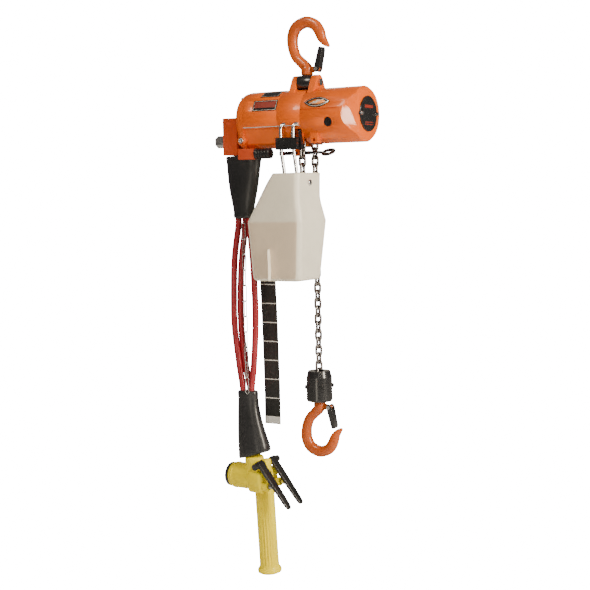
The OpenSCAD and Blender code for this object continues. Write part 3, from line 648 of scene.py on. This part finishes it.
def control_hoses(r=8):
    """Three hoses that bow apart between the boots."""
    tubes = []
    for top, bowed, low in (((-191, -21), (-206, -26), (-189, -22)), ((-175, -14), (-195, -13), (-173, -14)),
                            ((-159, -21), (-148, -21), (-163, -21))):
        path = catmull([(top[0], top[1], -416), (top[0], top[1], -440),
                        ((top[0] + 2 * bowed[0]) / 3, bowed[1], -520), (bowed[0], bowed[1], -610),
                        (bowed[0], bowed[1], -690), ((low[0] + bowed[0]) / 2, low[1], -785),
                        (low[0], low[1], -840), (low[0], low[1], -860)], 8)
        tubes.append(sweep(path, [(r, r)] * len(path), sides=18))
    piece("control_hoses", *merge(*tubes), "hose_rubber", "pendant", nodes=("hoses",))


upper_boot()
lower_boot()
control_hoses()

# ---------- tag strip ----------

def strip_finish(panel=0.0235, tag_top=-0.917):
    """Black blank panels with pale gaps, and one pale tag at the low end."""
    m = surface("strip_panels", (0.018, 0.018, 0.018), 0.38)
    t = m.node_tree
    z = split_vector(t, t.nodes.new("ShaderNodeTexCoord").outputs["Object"])["Z"]
    above_tag = t.nodes.new("ShaderNodeMath")
    above_tag.operation = "ADD"
    above_tag.inputs[1].default_value = -tag_top
    t.links.new(z, above_tag.inputs[0])
    to_gap = t.nodes.new("ShaderNodeMath")
    to_gap.operation = "PINGPONG"
    to_gap.inputs[1].default_value = panel
    t.links.new(above_tag.outputs[0], to_gap.inputs[0])
    tint(m, ramp(t, to_gap.outputs[0], 0.0011, 0.0013, 1, 0), (0.75, 0.75, 0.72))
    tint(m, ramp(t, z, tag_top - 0.0002, tag_top, 1, 0), (0.72, 0.72, 0.70))
    return m


def tag_strip(top=-465, length=470, steps=60):
    """Thin strip that hangs beside the hoses, its top drawn to the left."""
    rings = []
    for i in range(steps + 1):
        z = top - i * length / steps
        f = (z - top) / -length
        shift = -13 + 13 * min(1, f * 1.25) ** 0.8
        sway = 1.6 * math.sin(5 * f)
        left, right = -146 + shift, -101 + shift
        rings.append([(left, 12 + sway, z), (left + 15, 12.7 + sway, z), (right - 15, 12.7 + sway, z),
                      (right, 12 + sway, z), (right, 13.2 + sway, z), (left, 13.2 + sway, z)])
    piece("blank_tag_strip", *loft(rings), strip_finish(), "pendant", nodes=("tag_strip",),
          slot="strip_plastic", smooth=False)


tag_strip()

# ---------- pendant ----------

PENDANT = (Matrix.Translation(PENDANT_AT) @ Matrix.Rotation(math.radians(-5), 4, "Z")
           @ Matrix.Rotation(math.radians(4), 4, "X"))
LEVER_Y = 25  # the two levers and valves sit this far to each side


def placed(mesh):
    return [tuple(PENDANT @ Vector(v)) for v in mesh[0]], mesh[1]


def box_loft(x0, x1, y0, y1, rows_z, r):
    """A block through rounded rectangles; rows_z is [(z, pull from each side)]."""
    return loft([round_rect(x0 + k, x1 - k, y0 + k, y1 - k, max(1, r - k), z) for z, k in rows_z])


def pendant_head():
    """Cross barrel, block, neck, lug of the lever pivot and two valve bosses."""
    barrel = lathe([(25, -49.5), (28.5, -49), (30.5, -47.5), (31.6, -44), (32, -38), (32, 22), (31.2, 28),
                    (28.6, 31), (22, 31.6)], (0, 0, 0), axis="x")
    ring_step = lathe([(30.5, -40), (32.9, -39.4), (32.9, -36), (30.5, -35.4)], (0, 0, 0), axis="x")
    block = box_loft(18, 62, -38, 38, [(-29, 5), (-27.5, 2), (-24, 0), (18, 0), (22.5, 2), (24, 5)], 9)
    neck = lathe([(24, 20), (24, 46), (23, 52), (20, 54)], (18, 0, 0))
    pivot_lug = box_loft(44, 62, -12, 12, [(10, 0), (44, 0), (48, 2), (50, 5)], 4)
    bosses = [lathe([(9, 60), (11, 61), (11, 75), (10, 77), (7.5, 78), (7, 75)], (0, y, -12), axis="x",
                    sides=8) for y in (-LEVER_Y, LEVER_Y)]
    head = placed(merge(barrel, ring_step, block, neck, pivot_lug, *bosses))
    piece("pendant_head", *head, "yellow_plastic", "pendant", nodes=("pendant_body",), bevel=0.8)


def pendant_grip(centre_x=43, grip_r=24, sides=144, grooves_at=308):
    """Round grip with four grooves, flat flanks and a flared end."""
    rings = []
    for z, grow in ((-25, -2), (-28, 0), (-60, 0), (-110, 0), (-160, 0), (-205, 0), (-222, 0.4), (-228, 2.5),
                    (-230, 5), (-234, 6.2), (-239, 5.4), (-241, 2)):
        ring = []
        for k in range(sides):
            a = 2 * math.pi * k / sides
            away = abs((math.degrees(a) - grooves_at + 180) % 360 - 180)
            groove = 0
            if -222 < z < -30:
                groove = sum(3.2 * math.exp(-((away - w) / 4.2) ** 2) for w in (9, 27))
            flat = 0.9 if abs(math.sin(a)) > 0.96 and grow < 1 else 0
            r = grip_r + grow - groove - flat
            ring.append((centre_x + r * math.cos(a), r * math.sin(a), z))
        rings.append(ring)
    piece("pendant_grip", *placed(loft(rings)), "yellow_plastic", "pendant")


def finger_lever(name, side):
    """Flat lever that runs out and down from its hub."""
    splay = math.radians(37.5)
    down = Vector((math.sin(splay), 0, -math.cos(splay)))
    outwards = Vector((math.cos(splay), 0, math.sin(splay)))
    hinge = Vector((53, side * LEVER_Y, 40))
    keys = [(-9, 3.4, 9), (-7, 4.4, 11.4), (30, 4.6, 12), (70, 4.4, 10.8), (110, 4, 9.4), (121, 3.8, 8.6),
            (127, 3.2, 7), (130, 1.8, 3.8)]
    path = [tuple(hinge + outwards * 4 + down * d) for d, _, _ in keys]
    blade = sweep(path, [(a, b) for _, a, b in keys], square=4.5, sides=28)
    hub = lathe([(6, -12), (8.2, -12), (9, -11), (9, 11), (8.2, 12), (6, 12)], tuple(hinge), axis="y",
                sides=32)
    piece(name + "_finger_lever", *placed(merge(blade, hub)), "black_plastic", name + "_lever",
          nodes=(name + "_lever",), bevel=0.4)


pendant_head()
pendant_grip()
finger_lever("raise", -1)
finger_lever("lower", 1)

# ---------- floor, light and camera ----------

def seen_bright(tree, dull, bright, share):
    """Gives the camera a bright surface while the light that reaches the object stays soft."""
    path = tree.nodes.new("ShaderNodeLightPath")
    scaled = tree.nodes.new("ShaderNodeMath")
    scaled.operation = "MULTIPLY"
    scaled.inputs[1].default_value = share
    mix = tree.nodes.new("ShaderNodeMixShader")
    tree.links.new(path.outputs["Is Camera Ray"], scaled.inputs[0])
    tree.links.new(scaled.outputs[0], mix.inputs[0])
    tree.links.new(dull, mix.inputs[1])
    tree.links.new(bright, mix.inputs[2])
    return mix.outputs[0]


def pale_floor(half=9, drop=0.008):
    z = cad_box[0][2] - drop
    mesh = bpy.data.meshes.new("floor")
    corners = [(x, y, z) for x, y in rectangle(-half, half, -half, half)]
    mesh.from_pydata(corners, [], [(0, 1, 2, 3)])
    floor = bpy.data.objects.new("floor", mesh)
    bpy.context.collection.objects.link(floor)
    pale = surface("floor_pale", (0.86, 0.86, 0.86), 0.8, vary=0.01, dirt=0)
    tree = pale.node_tree
    glow = node(tree, "ShaderNodeEmission", Strength=24.0)
    tree.links.new(seen_bright(tree, tree.nodes["Principled BSDF"].outputs[0], glow.outputs[0], 0.92),
                   tree.nodes["Material Output"].inputs["Surface"])
    floor.data.materials.append(pale)


def studio_world():
    """Warm dim light from all round behind a white backdrop."""
    world = bpy.data.worlds.new("studio")
    bpy.context.scene.world = world
    world.use_nodes = True
    tree = world.node_tree
    ambient = tree.nodes["Background"]
    ambient.inputs["Color"].default_value = (1, 0.93, 0.80, 1)
    ambient.inputs["Strength"].default_value = 0.16
    backdrop = node(tree, "ShaderNodeBackground", Strength=22.0)
    tree.links.new(seen_bright(tree, ambient.outputs[0], backdrop.outputs[0], 1.0),
                   tree.nodes["World Output"].inputs["Surface"])


def softbox(name, at, target, size, power):
    light = bpy.data.lights.new(name, "AREA")
    light.shape = "RECTANGLE"
    light.size, light.size_y = size
    light.energy = power
    light.color = (1.0, 0.90, 0.74)
    o = bpy.data.objects.new(name, light)
    bpy.context.collection.objects.link(o)
    o.location = at
    o.rotation_euler = (Vector(target) - Vector(at)).to_track_quat("-Z", "Y").to_euler()


def photo_camera(azimuth=30.8, elevation=4.6, roll=-1.16, distance=3.152, focal_px=1299.0, frame_px=590):
    """Camera in front and to the right, a little above the middle of the hoist."""
    az, el = math.radians(azimuth), math.radians(elevation)
    out = Vector((math.sin(az) * math.cos(el), -math.cos(az) * math.cos(el), math.sin(el)))
    camera = bpy.data.objects.new("camera", bpy.data.cameras.new("camera"))
    bpy.context.collection.objects.link(camera)
    camera.location = Vector((-0.046, 0, -0.611)) + out * distance
    camera.rotation_mode = "QUATERNION"
    facing = (-out).to_track_quat("-Z", "Y")
    camera.rotation_quaternion = facing @ Matrix.Rotation(math.radians(roll), 3, "Z").to_quaternion()
    camera.data.sensor_width = 36
    camera.data.lens = camera.data.sensor_width * focal_px / frame_px
    bpy.context.scene.camera = camera


pale_floor()
studio_world()
middle = (-0.05, 0, -0.6)
softbox("key", (-0.6, -2.2, 1.6), middle, (0.8, 0.8), 42)
softbox("near_camera", (1.35, -2.75, 0.15), (0.1, 0, -0.2), (0.5, 0.5), 5)
softbox("facet", (0.860, -1.013, -0.122), (0.14, -0.057, -0.189), (0.06, 0.055), 1.0)
softbox("side", (2.7, -0.5, 0.4), middle, (0.6, 1.9), 130)
softbox("low", (0.2, -2.6, -1.0), (-0.15, 0, -1.15), (0.6, 0.6), 4)
softbox("back", (-1.2, 2.4, 0.6), middle, (1.4, 1.4), 14)
photo_camera()
